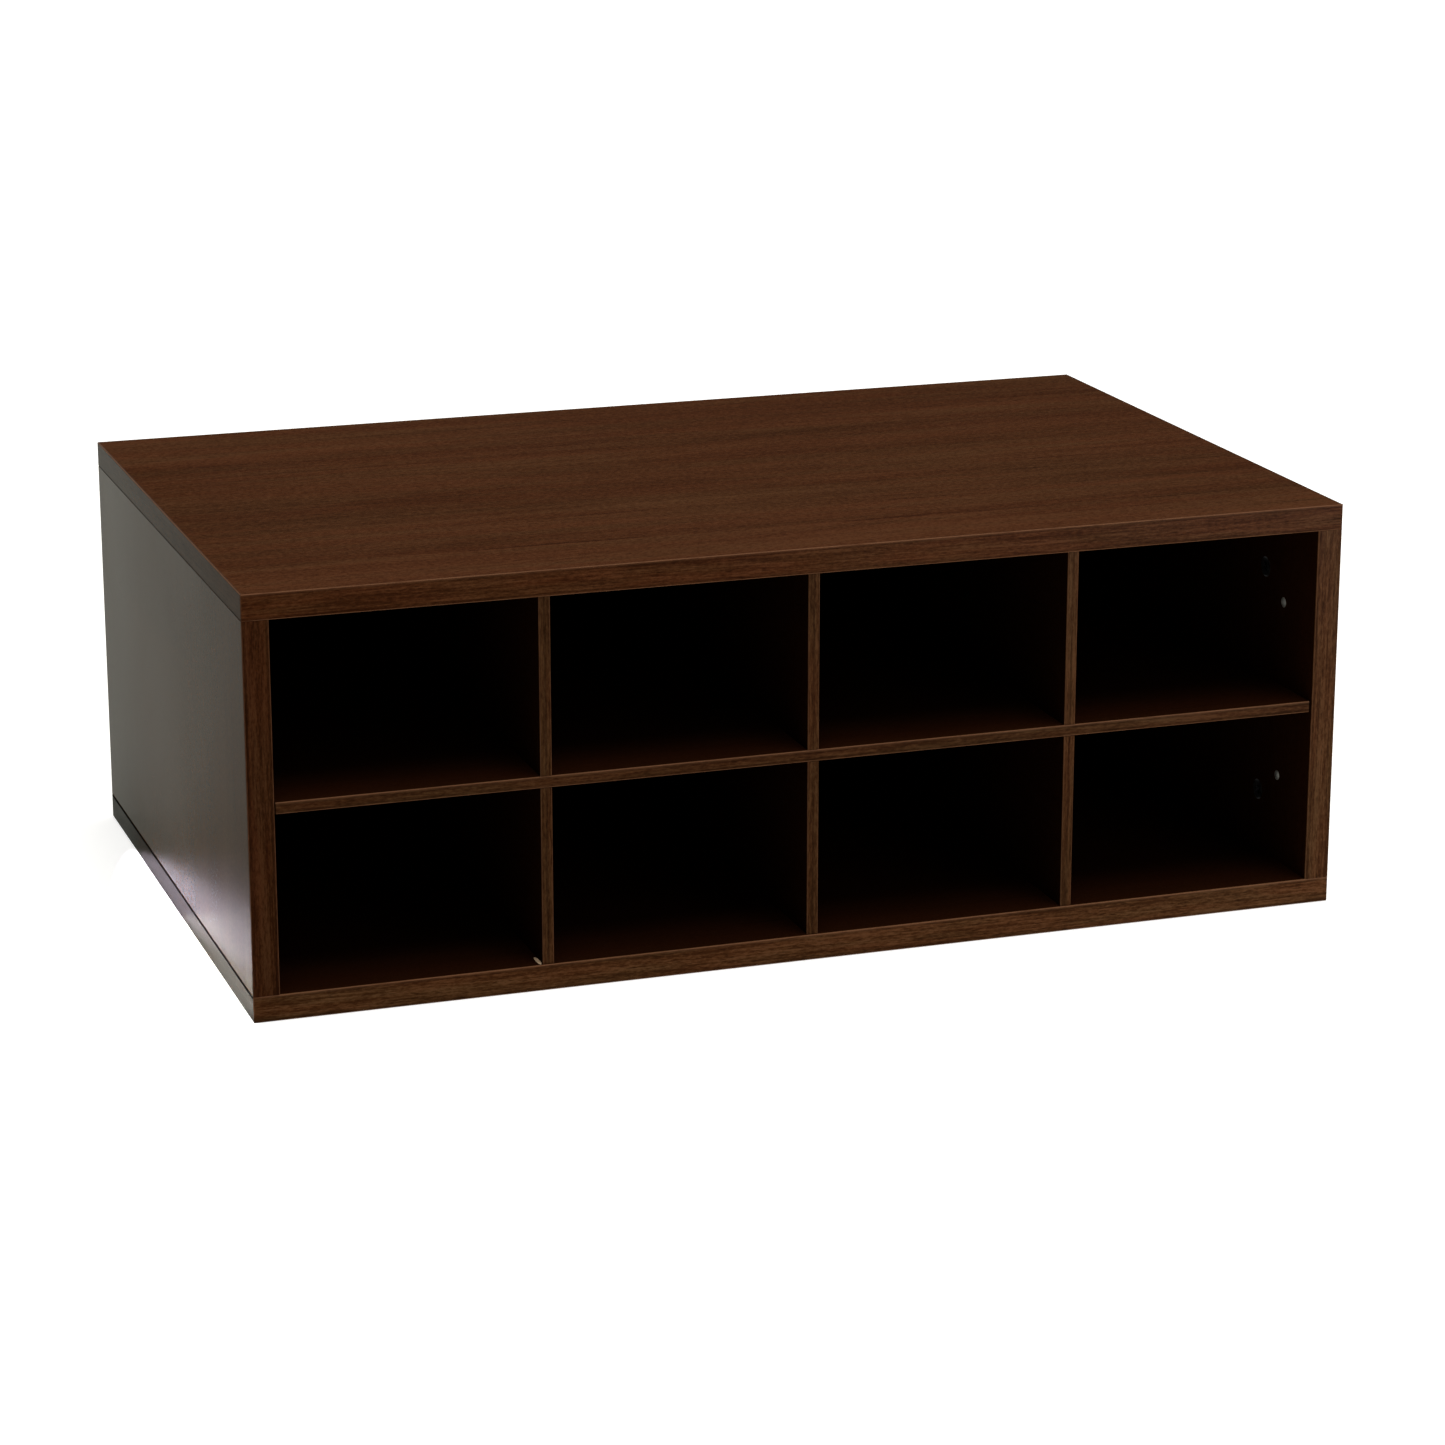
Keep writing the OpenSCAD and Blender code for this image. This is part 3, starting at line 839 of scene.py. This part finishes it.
class CUBE_OT_back_panel(bpy.types.Operator):
    """Finish the back panel"""

    bl_idname = "cube.back_panel"
    bl_label = "Back panel"

    def execute(self, context):
        back_finish()
        return {"FINISHED"}


class CUBE_OT_cam_locks(bpy.types.Operator):
    """Finish the cam locks, and make the teeth round their faces"""

    bl_idname = "cube.cam_locks"
    bl_label = "Cam locks"

    def execute(self, context):
        # The cam locks' dark colour is painted shade.
        shaded_zinc = metal_finish("cast_zinc", fitting_settings().shaded_zinc, 0.42, 1100.0, 0.05 * MM)
        give(shaded_zinc, "left_cam_locks", "right_cam_locks")
        tree = cam_teeth_tree(shaded_zinc)
        cam_teeth("left", tree)
        cam_teeth("right", tree)
        bpy.data.node_groups.remove(tree)
        return {"FINISHED"}


class CUBE_OT_bolts_and_dowels(bpy.types.Operator):
    """Finish the connecting bolts and the dowels"""

    bl_idname = "cube.bolts_and_dowels"
    bl_label = "Bolts and dowels"

    def execute(self, context):
        steel = metal_finish("turned_steel", fitting_settings().steel, 0.34, 700.0, 0.03 * MM, "Z")
        give(steel, "left_cam_bolts", "right_cam_bolts")
        give(beech_finish(), "left_dowels", "right_dowels")
        return {"FINISHED"}


class CUBE_OT_wall_pins(bpy.types.Operator):
    """Finish the wall pins"""

    bl_idname = "cube.wall_pins"
    bl_label = "Wall pins"

    def execute(self, context):
        nickel = metal_finish("nickel_pin", fitting_settings().nickel, 0.50, 500.0, 0.02 * MM, "X")
        give(nickel, "left_wall_pins", "right_wall_pins")
        return {"FINISHED"}


class CUBE_OT_studio(bpy.types.Operator):
    """Make the floor, the light and the camera"""

    bl_idname = "cube.studio"
    bl_label = "Studio"

    def execute(self, context):
        studio = studio_settings()
        make_floor(studio)
        make_world(studio)
        make_lamps(studio)
        make_camera(studio)
        return {"FINISHED"}


def make_floor(studio):
    """A wide pale floor that keeps the shadow. Its glow reaches only the eye, gloss and glass.

    Below the narrow lamps its paint is darker for diffuse rays, so that the side isn't lit from there.
    """
    half = studio.floor_size / 2
    level = CAD_LOW.z - 0.3 * MM
    mesh = bpy.data.meshes.new("floor")
    corners = [(-half, -half, level), (half, -half, level), (half, half, level), (-half, half, level)]
    mesh.from_pydata(corners, [], [(0, 1, 2, 3)])
    floor = bpy.data.objects.new("floor", mesh)
    bpy.context.scene.collection.objects.link(floor)
    material, tree = new_material("pale_floor")
    place = object_place(tree)
    middle, half_wide, half_long = (CAD_LOW.x - 0.035, -0.06), 0.050, 0.28
    near = abs(place.axis("X") - middle[0]) < half_wide
    beside = near * (abs(place.axis("Y") - middle[1]) < half_long)
    hushed = beside * Signal.node(tree, "ShaderNodeLightPath", output="Is Diffuse Ray")
    colour = hushed.blend(studio.floor, tuple(studio.hush * part for part in studio.floor))
    paint = Signal.node(
        tree, "ShaderNodeBsdfPrincipled", None,
        {"Base Color": colour, "Roughness": 0.9, "Specular IOR Level": 0.0},
    )
    seen = seen_rays(tree)
    to_eye = Signal.node(tree, "ShaderNodeLightPath", output="Is Camera Ray")
    colour = to_eye.blend(studio.glow_tint, (1.1, 1.1, 1.1))
    glow = Signal.node(
        tree, "ShaderNodeEmission", None, {"Color": colour, "Strength": seen * studio.floor_glow}
    )
    both = Signal.node(tree, "ShaderNodeAddShader", None, {0: paint, 1: glow})
    show(tree, both)
    mesh.materials.append(material)


def seen_rays(tree):
    """1 for what the eye sees, straight on, in gloss or through glass."""
    paths = [
        Signal.node(tree, "ShaderNodeLightPath", output=name)
        for name in ("Is Camera Ray", "Is Glossy Ray", "Is Transmission Ray")
    ]
    return (paths[0] + paths[1] + paths[2]).clamped()


def make_world(studio):
    world = bpy.data.worlds.new("studio_world")
    bpy.context.scene.world = world
    world.use_nodes = True
    world.node_tree.nodes.clear()
    tree = world.node_tree
    strength = seen_rays(tree) * (1 - studio.room) + studio.room
    sky = Signal.node(tree, "ShaderNodeBackground", None, {"Color": (1, 1, 1, 1), "Strength": strength})
    out = tree.nodes.new("ShaderNodeOutputWorld")
    tree.links.new(sky.socket, out.inputs["Surface"])


def make_lamps(studio):
    """A soft light from high above, a large lamp right of the front, and two low ones by the left side."""
    above = bpy.data.lights.new("sky_light", "SUN")
    above.energy = studio.sun
    above.angle = math.radians(50)
    place_lamp(above, (0.24, -0.24, 2.3), (0.0, 0.0, 0.0))
    key = bpy.data.lights.new("key_light", "AREA")
    key.shape = "RECTANGLE"
    key.size, key.size_y = 1.2, 0.32
    key.energy = studio.key
    place_lamp(key, (1.12, -1.84, 0.17), (0.0, -0.2, 0.15))
    lilac, rear_size, rear_spot = (0.88, 0.79, 1.0), (0.050, 0.52), (-0.4305, -0.100)
    rear = floor_strip("rear_strip", "ELLIPSE", studio.strip, lilac, rear_size)
    rear.location = (*rear_spot, studio.strip_high)
    rear.rotation_euler.z = math.radians(-10.5)
    warm_white, front_size, front_spot = (1.0, 0.97, 0.93), (0.034, 0.25), (-0.4048, -0.134)
    front_power = studio.strip * studio.front_share
    front = floor_strip("front_strip", "RECTANGLE", front_power, warm_white, front_size)
    front.location = (*front_spot, studio.strip_high)
    front.rotation_euler.z = math.radians(-3)


def floor_strip(name, shape, power, colour, size):
    """A narrow lamp that faces down beside the left side, and lights only the floor below it."""
    strip = bpy.data.lights.new(name, "AREA")
    strip.shape = shape
    strip.size, strip.size_y = size
    strip.spread = math.radians(5)
    strip.color = colour
    strip.energy = power
    lamp = bpy.data.objects.new(name, strip)
    bpy.context.scene.collection.objects.link(lamp)
    return lamp


def place_lamp(light, position, target):
    lamp = bpy.data.objects.new(light.name, light)
    bpy.context.scene.collection.objects.link(lamp)
    lamp.location = position
    way = Vector(target) - Vector(position)
    lamp.rotation_euler = way.to_track_quat("-Z", "Y").to_euler()


def make_camera(studio):
    data = bpy.data.cameras.new("camera")
    data.lens = studio.lens
    camera = bpy.data.objects.new("camera", data)
    bpy.context.scene.collection.objects.link(camera)
    flat = math.cos(studio.elevation)
    back = Vector((
        math.sin(studio.azimuth) * flat, -math.cos(studio.azimuth) * flat, math.sin(studio.elevation),
    ))
    camera.location = Vector(studio.aim) + back * studio.distance
    camera.rotation_euler = (-back).to_track_quat("-Z", "Y").to_euler()
    bpy.context.scene.camera = camera
    bpy.context.scene.view_settings.view_transform = "Standard"


PIECE_OPERATORS = (
    CUBE_OT_carcass_boards,
    CUBE_OT_banding,
    CUBE_OT_divider_grid,
    CUBE_OT_back_panel,
    CUBE_OT_cam_locks,
    CUBE_OT_bolts_and_dowels,
    CUBE_OT_wall_pins,
    CUBE_OT_studio,
)


class CUBE_PT_sidebar(bpy.types.Panel):
    """Lists the unit's pieces in the 3D view's sidebar"""

    bl_idname = "CUBE_PT_sidebar"
    bl_label = "Cube Unit"
    bl_space_type = "VIEW_3D"
    bl_region_type = "UI"
    bl_category = "Cube Unit"

    def draw(self, context):
        for operator in PIECE_OPERATORS:
            self.layout.operator(operator.bl_idname)


SETTINGS = {
    "cube_walnut": WalnutSettings,
    "cube_core": CoreSettings,
    "cube_fittings": FittingSettings,
    "cube_studio": StudioSettings,
}
CLASSES = (*SETTINGS.values(), *PIECE_OPERATORS, CUBE_PT_sidebar)


def register():
    for cls in CLASSES:
        bpy.utils.register_class(cls)
    for name, group in SETTINGS.items():
        setattr(bpy.types.Scene, name, PointerProperty(type=group))


def unregister():
    for name in SETTINGS:
        delattr(bpy.types.Scene, name)
    for cls in reversed(CLASSES):
        bpy.utils.unregister_class(cls)


def main():
    register()
    bpy.ops.cube.carcass_boards()
    bpy.ops.cube.banding()
    bpy.ops.cube.divider_grid()
    bpy.ops.cube.back_panel()
    bpy.ops.cube.cam_locks()
    bpy.ops.cube.bolts_and_dowels()
    bpy.ops.cube.wall_pins()
    bpy.ops.cube.studio()


if __name__ == "__main__":
    main()
